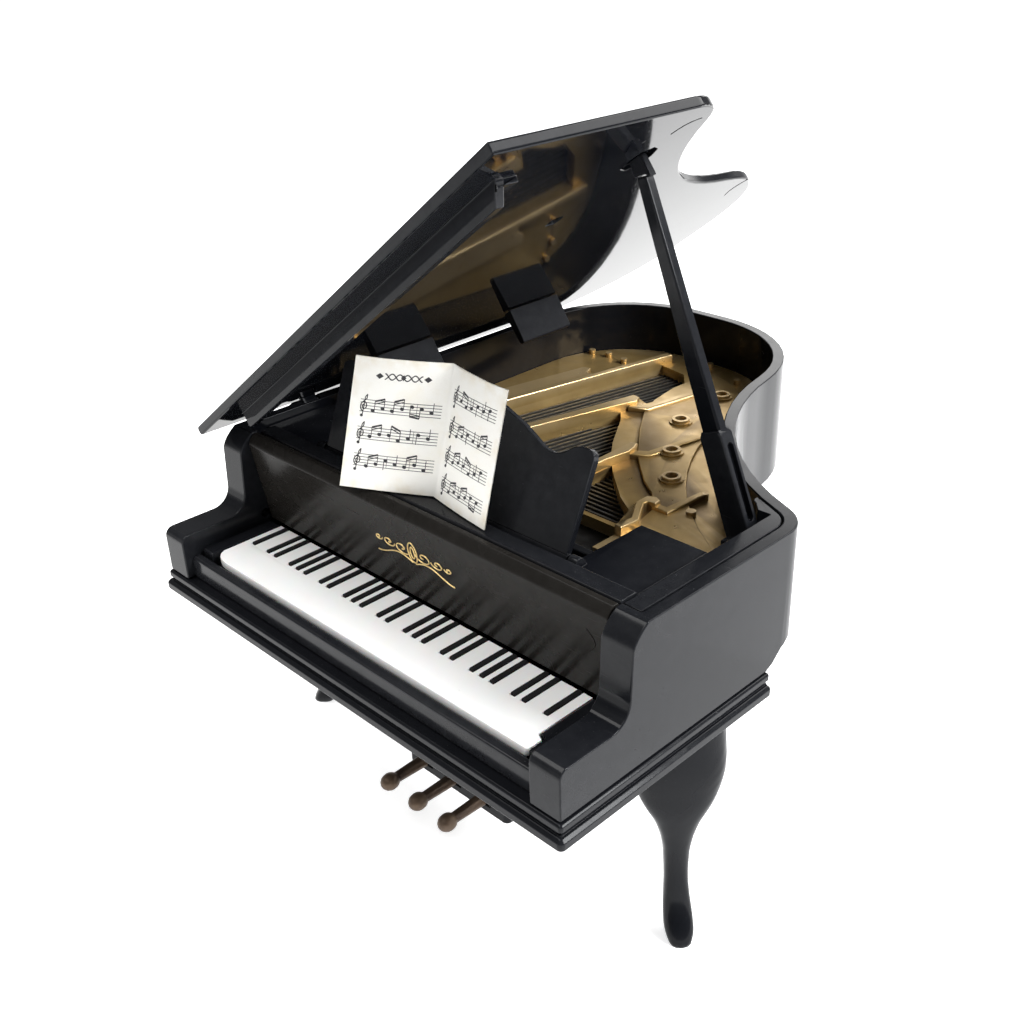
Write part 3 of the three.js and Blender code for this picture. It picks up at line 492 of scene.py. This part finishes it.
class Marks:
    """Flat printed marks gathered into one mesh on the two pages."""

    def __init__(self):
        self.bm = bmesh.new()

    def patch(self, side, outline):
        """A filled outline of (u, v) points a hair above the paper, given a little thickness."""
        face = toward_viewer(side)
        low = [self.bm.verts.new(page_point(side, u, v, face * 0.1)) for u, v in outline]
        top = [self.bm.verts.new(page_point(side, u, v, face * 0.16)) for u, v in outline]
        self.bm.faces.new(top)
        self.bm.faces.new(list(reversed(low)))
        for k in range(len(outline)):
            n = (k + 1) % len(outline)
            self.bm.faces.new((low[k], low[n], top[n], top[k]))

    def stroke(self, side, points, width):
        """A pen stroke through (u, v) points."""
        for (u0, v0), (u1, v1) in zip(points, points[1:]):
            length = math.hypot(u1 - u0, v1 - v0) or 1.0
            nu = -(v1 - v0) / length * width / 2
            nv = (u1 - u0) / length * width / 2
            low = [(u0 - nu, v0 - nv), (u1 - nu, v1 - nv)]
            self.patch(side, low + [(u1 + nu, v1 + nv), (u0 + nu, v0 + nv)])

    def ball(self, side, u, v, rx, ry):
        turn = math.radians(20)
        outline = []
        for k in range(8):
            a = 2 * math.pi * k / 8
            x, y = rx * math.cos(a), ry * math.sin(a)
            outline.append((u + x * math.cos(turn) - y * math.sin(turn),
                            v + x * math.sin(turn) + y * math.cos(turn)))
        self.patch(side, outline)

    def build(self, name):
        bmesh.ops.recalc_face_normals(self.bm, faces=self.bm.faces)
        mesh = bpy.data.meshes.new(name)
        self.bm.to_mesh(mesh)
        self.bm.free()
        obj = bpy.data.objects.new(name, mesh)
        return link(obj, "score", PRINT)


# distance between the lines of a stave, and the notes of each row as half steps above its lowest line
LINE_GAP = 0.62
MELODY = ((1, 3, 2, 4, 6, 5, 3), (2, 4, 4, 1, 3, 6, 4), (0, 2, 5, 3, 2, 4, 1), (3, 1, 2, 5, 4, 6, 2))


def stave(marks, side, left, right, foot, tune):
    """Five lines, a clef, bar lines and a run of notes. left and right are distances from the fold."""
    step = 1 if right > left else -1
    for k in range(5):
        v = foot + LINE_GAP * k
        count = 6
        cuts = [left + (right - left) * i / count for i in range(count + 1)]
        marks.stroke(side, [(u, v) for u in cuts], 0.115)
    clef_u = left + step * 0.9
    curl = []
    for k in range(17):
        a = 0.9 + 0.62 * k
        r = 0.26 + 0.056 * k
        curl.append((clef_u + step * r * 0.8 * math.cos(a), foot + 1.15 + r * math.sin(a)))
    marks.stroke(side, curl, 0.24)
    stem = ((-0.2, -0.9), (0.0, 1.2), (0.1, 3.0), (0.55, 3.6), (0.5, 2.7), (-0.4, 1.9))
    marks.stroke(side, [(clef_u + step * u, foot + v) for u, v in stem], 0.22)
    marks.ball(side, clef_u - step * 0.35, foot - 0.85, 0.38, 0.32)
    span = right - left - step * 3.0
    places = [left + step * 2.6 + span * (k + 0.2) / len(tune) for k in range(len(tune))]
    for bar in (0.36, 0.70):
        u = left + step * 2.2 + span * bar
        marks.stroke(side, [(u, foot), (u, foot + 4 * LINE_GAP)], 0.08)
    heads = []
    for u, pitch in zip(places, tune):
        v = foot + LINE_GAP * pitch * 0.5
        marks.ball(side, u, v, 0.5, 0.36)
        up = 1 if pitch < 5 else -1
        stem_u = u + step * 0.34 * up
        marks.stroke(side, [(stem_u, v), (stem_u, v + up * 2.0)], 0.15)
        heads.append((stem_u, v + up * 2.0, up))
    for (u0, v0, up0), (u1, v1, up1) in list(zip(heads, heads[1:]))[::2]:
        if up0 == up1:
            marks.stroke(side, [(u0, v0), (u1, v1)], 0.36)
            marks.stroke(side, [(u0, v0 - up0 * 0.55), (u1, v1 - up1 * 0.55)], 0.2)


score_marks = Marks()
for row, foot_v in enumerate((16.3, 10.6, 4.9)):
    stave(score_marks, -1, PAGE_WIDTH[-1] - 2.5, 0.9, foot_v, MELODY[row])
for row, foot_v in enumerate((20.6, 14.4, 8.4, 2.6)):
    stave(score_marks, 1, 2.4, PAGE_WIDTH[1] - 1.8, foot_v, MELODY[3 - row][:6])
# a plain ornament above the staves: two waved rules across three lozenges
HEADING_V = 23.9
middle = PAGE_WIDTH[-1] - 11.6
for wave in (0.0, math.pi):
    rule = [(middle + 0.3 * k, HEADING_V + 0.62 * math.sin(k * 0.55 + wave)) for k in range(-14, 15)]
    score_marks.stroke(-1, rule, 0.24)
for offset in (-5.4, 0.0, 5.4):
    reach = 0.9 if offset else 0.6
    centre = middle + offset
    right, top = (centre + reach, HEADING_V), (centre, HEADING_V + 0.6)
    left, foot = (centre - reach, HEADING_V), (centre, HEADING_V - 0.6)
    score_marks.patch(-1, [right, top, left, foot])
score_marks.build("score_print")


# ---------------------------------------------------------------- ornament and mould marks
def tube(name, strokes, radius, body, material):
    """Round line work laid on a surface."""
    curve = bpy.data.curves.new(name, "CURVE")
    curve.dimensions = "3D"
    curve.bevel_depth = radius * MM
    curve.bevel_resolution = 2
    curve.use_fill_caps = True
    for points in strokes:
        spline = curve.splines.new("POLY")
        spline.points.add(len(points) - 1)
        for point, co in zip(spline.points, points):
            point.co = (*co, 1)
    obj = bpy.data.objects.new(name, curve)
    return link(obj, body, material)


# the cover's ornament: its middle across the cover and up its face
ORNAMENT_X = 1.0
ORNAMENT_H = 13.2
# the foot and top of the raised cover's face, as (y, z)
FACE_TOP = Vector((21.25, 86.5))
FACE_FOOT = Vector((24.75, 65.2))


def on_cover(x, h, lift=0.02):
    """A point on the key cover's face: x across, h mm up from its foot."""
    along = (FACE_TOP - FACE_FOOT).normalized()
    p = FACE_FOOT + along * h
    return at(x, p.x - lift, p.y - lift * 0.16)


def scroll(cx, ch, size, side, turns=1.35, start=0.0):
    """A C-scroll that opens outwards."""
    points = []
    for k in range(30):
        a = start + 2 * math.pi * turns * k / 29
        r = size * (1 - k / 34)
        points.append(on_cover(cx + side * r * math.cos(a), ch + r * 0.62 * math.sin(a)))
    return points


ornament = []
for sign in (-1, 1):
    for reach, size, turn in ((3.5, 2.7, 1.25), (7.9, 2.0, 1.3), (11.3, 1.25, 1.2)):
        ornament.append(scroll(ORNAMENT_X + sign * reach, ORNAMENT_H, size, sign, turn, math.pi))
    swag = [(0.5 + 0.5 * k, 10.4 + 1.1 * math.sin(k / 24 * math.pi * 1.5)) for k in range(25)]
    ornament.append([on_cover(ORNAMENT_X + sign * x, h) for x, h in swag])
for width, height in ((1.4, 2.6), (0.6, 1.5)):
    ornament.append([on_cover(ORNAMENT_X + width * math.sin(math.tau * k / 24),
                              ORNAMENT_H + height * math.cos(math.tau * k / 24)) for k in range(25)])
tube("cover_ornament", ornament, 0.17, "key_cover", FOIL)


# the lid's opening in degrees, its hinge line (x, z) and the height of its underside when shut
LID_OPEN = 36.45
LID_PIVOT = Vector((-64.7, 87.8))
LID_UNDER = 89.15


def on_lid(x, y):
    """A point on the lid's underside, x and y as they lie on the shut lid."""
    turn = math.radians(LID_OPEN)
    dx, dz = x - LID_PIVOT.x, LID_UNDER - LID_PIVOT.y
    return at(LID_PIVOT.x + dx * math.cos(turn) - dz * math.sin(turn), y,
              LID_PIVOT.y + dx * math.sin(turn) + dz * math.cos(turn))


def bow(place, start, end, sag, count=15):
    """A shallow arc between two points of a surface, such as an ejector pin leaves."""
    points = []
    for k in range(count):
        t = k / (count - 1)
        lift = sag * math.sin(math.pi * t)
        run = (end[0] - start[0], end[1] - start[1])
        length = math.hypot(*run)
        points.append(place(start[0] + run[0] * t - run[1] / length * lift,
                            start[1] + run[1] * t + run[0] / length * lift))
    return points


tube("lid_mould_marks", [
    bow(on_lid, (55.9, 67.5), (60.4, 72.1), -1.2),
    bow(on_lid, (2.8, 144.3), (11.4, 144.7), -1.6),
    bow(on_lid, (-41.0, 30.0), (-36.0, 34.0), 1.2),
], 0.09, "lid", LID)
tube("cover_mould_marks", [
    bow(on_cover, (-50.9, 11.4), (-50.7, 16.7), 1.6),
    bow(on_cover, (51.2, 16.7), (51.4, 11.4), 1.6),
], 0.1, "key_cover", COVER)


# ---------------------------------------------------------------- stage, light and camera
def make_floor():
    mat, nt, bsdf = new_material("floor_white")
    tone = noise(nt, coords(nt), 0.004, 3)
    nt.links.new(blend_colour(nt, tone, (0.9, 0.9, 0.9), (0.94, 0.94, 0.94)), bsdf.inputs["Base Color"])
    bsdf.inputs["Roughness"].default_value = 0.8
    bsdf.inputs["Specular IOR Level"].default_value = 0.1
    bsdf.inputs["Emission Color"].default_value = (1, 1, 1, 1)
    bsdf.inputs["Emission Strength"].default_value = 0.7
    mesh = bpy.data.meshes.new("floor")
    size = 9.0
    corners = [(-size, -size, 0), (size, -size, 0), (size, size, 0), (-size, size, 0)]
    mesh.from_pydata(corners, [], [(0, 1, 2, 3)])
    floor = bpy.data.objects.new("floor", mesh)
    floor.data.materials.append(mat)
    bpy.context.scene.collection.objects.link(floor)


def make_world():
    world = bpy.data.worlds.new("studio")
    world.use_nodes = True
    nt = world.node_tree
    tex = nt.nodes.new("ShaderNodeTexCoord")
    split = nt.nodes.new("ShaderNodeSeparateXYZ")
    nt.links.new(tex.outputs["Generated"], split.inputs[0])
    sky = ramp(nt, split.outputs[2], (0.0, 1.0), (0.1, 0.6), (0.4, 0.2), (0.8, 0.45))
    background = nt.nodes["Background"]
    nt.links.new(sky, background.inputs["Color"])
    background.inputs["Strength"].default_value = 1.0
    bpy.context.scene.world = world


def area(name, location, target, size, power, tint=(1, 1, 1)):
    data = bpy.data.lights.new(name, "AREA")
    data.shape = "RECTANGLE"
    data.size, data.size_y = size
    data.energy = power
    data.color = tint
    lamp = bpy.data.objects.new(name, data)
    lamp.location = location
    lamp.rotation_euler = (Vector(target) - Vector(location)).to_track_quat("-Z", "Y").to_euler()
    bpy.context.scene.collection.objects.link(lamp)


# where the camera stands, in case millimetres, and its azimuth, elevation and roll in degrees
CAMERA_AT = (175.7, -114.01, 203.28)
CAMERA_TURN = (46.45, 27.76, -2.18)
SENSOR, LENS = 36, 42.135


def make_camera():
    data = bpy.data.cameras.new("camera")
    data.sensor_width = SENSOR
    data.lens = LENS
    data.clip_start = 0.01
    data.clip_end = 50
    camera = bpy.data.objects.new("camera", data)
    azimuth, elevation, roll = (math.radians(angle) for angle in CAMERA_TURN)
    turn = (Matrix.Rotation(azimuth, 4, "Z") @ Matrix.Rotation(math.pi / 2 - elevation, 4, "X")
            @ Matrix.Rotation(roll, 4, "Z"))
    camera.matrix_world = Matrix.Translation(at(*CAMERA_AT)) @ turn
    bpy.context.scene.collection.objects.link(camera)
    bpy.context.scene.camera = camera


make_floor()
make_world()
area("key_light", (-0.25, -0.35, 0.95), (0, 0, 0.08), (0.7, 0.5), 7.0, (1.0, 0.99, 0.97))
area("window", (0.75, 0.30, 0.62), (0, 0, 0.08), (0.45, 0.4), 14.0, (0.97, 0.985, 1.0))
# two low panels behind: one shows in the lid's raised edge, the other along the rim of the tail
area("panel_right", (0.34, 0.74, 0.64), (0.04, 0.0, 0.16), (0.5, 0.5), 5.0, (1.0, 0.995, 0.985))
area("panel_left", (-0.36, 0.74, 0.42), (0.02, 0.05, 0.09), (0.5, 0.24), 1.3, (1.0, 0.995, 0.985))
make_camera()
bpy.context.scene.view_settings.view_transform = "Standard"
